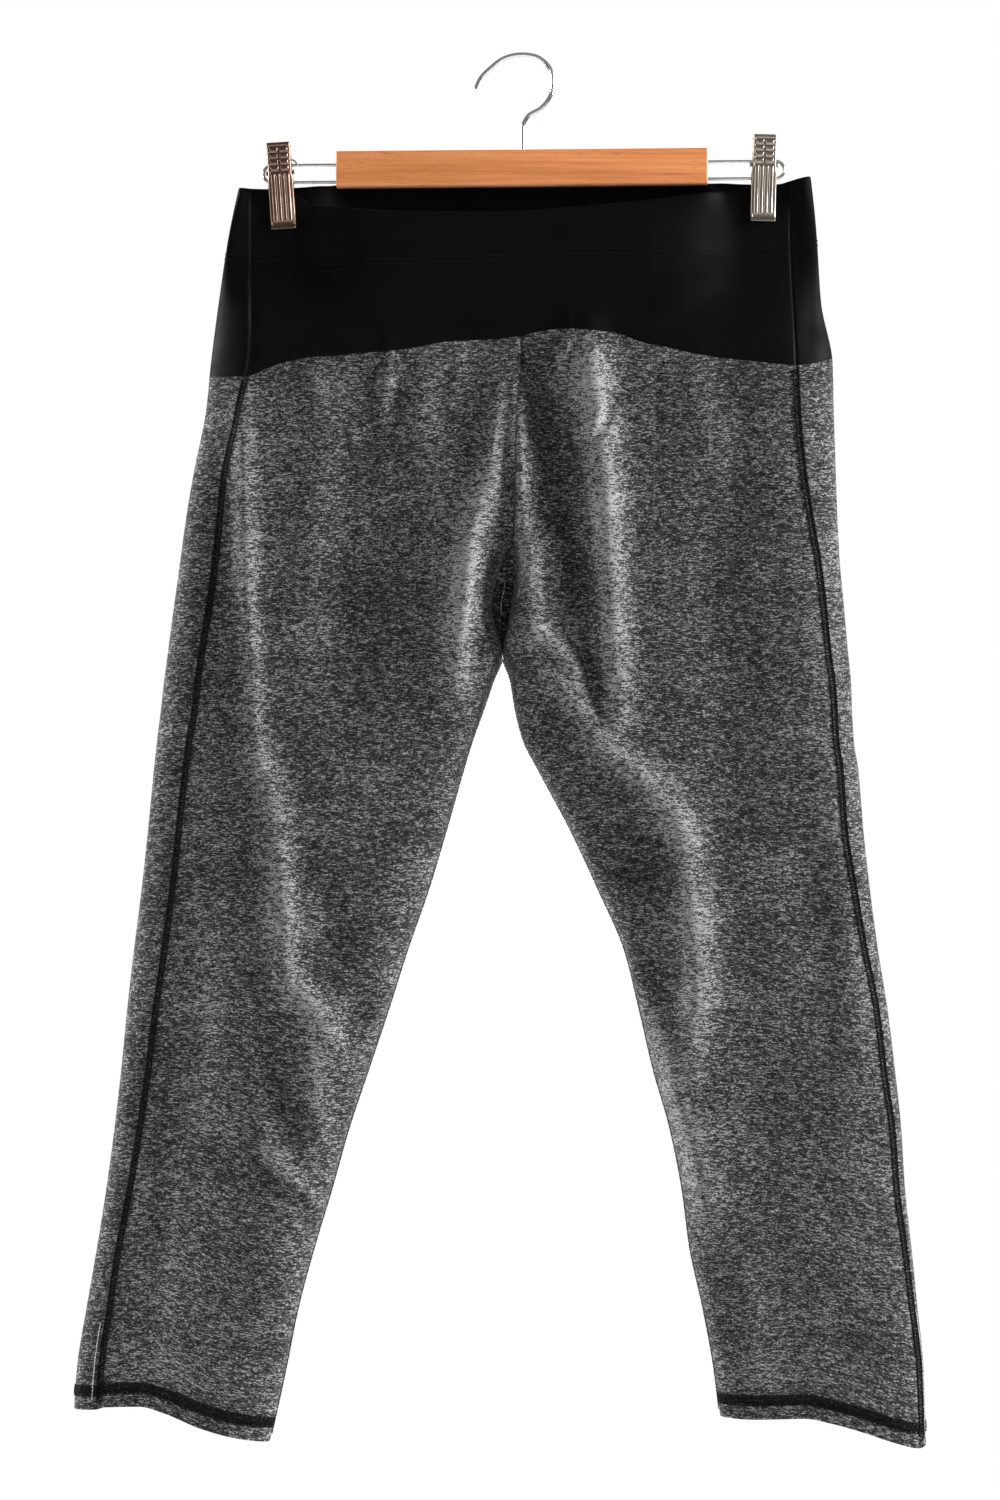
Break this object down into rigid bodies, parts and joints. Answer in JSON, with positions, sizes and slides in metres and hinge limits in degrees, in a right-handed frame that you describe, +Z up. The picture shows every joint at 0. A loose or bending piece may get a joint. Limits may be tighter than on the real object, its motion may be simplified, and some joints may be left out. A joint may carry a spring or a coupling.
{
  "type": "leggings on a clip hanger",
  "caption": "Cropped knit leggings with a wide arched waistband, hanging open-legged from the spring clips of a wooden bar hanger.",
  "frame": {"origin": "inner top of the hook's bow, where a rail carries the hanger", "axes": "+Z up, -Y the front of the leggings, +X to the right as seen from the front"},
  "size_m": [0.5551, 0.0512, 0.9082],
  "materials": {
    "leg_knit": "charcoal melange jersey with short black and light grey flecks",
    "band_knit": "black smooth stretch knit with a slight sheen",
    "bar_wood": "orange-tan lacquered wood with fine lengthwise grain",
    "hanger_wire": "plated steel wire",
    "clip_plate": "bright nickel-plated pressed steel"
  },
  "bodies": {
    "root": {"waistband_front": "band_knit", "waistband_back": "band_knit", "leg_front_left": "leg_knit", "leg_front_right": "leg_knit", "leg_back_left": "leg_knit", "leg_back_right": "leg_knit", "hanger_bar": "bar_wood", "hanger_hook": "hanger_wire", "wire_loop_left": "hanger_wire", "wire_loop_right": "hanger_wire", "clip_front_left": "clip_plate", "clip_front_right": "clip_plate", "clip_back_left": "clip_plate", "clip_back_right": "clip_plate", "clip_pin_left": "clip_plate", "clip_pin_right": "clip_plate", "clip_spring_left": "hanger_wire", "clip_spring_right": "hanger_wire"}
  },
  "joints": []
}
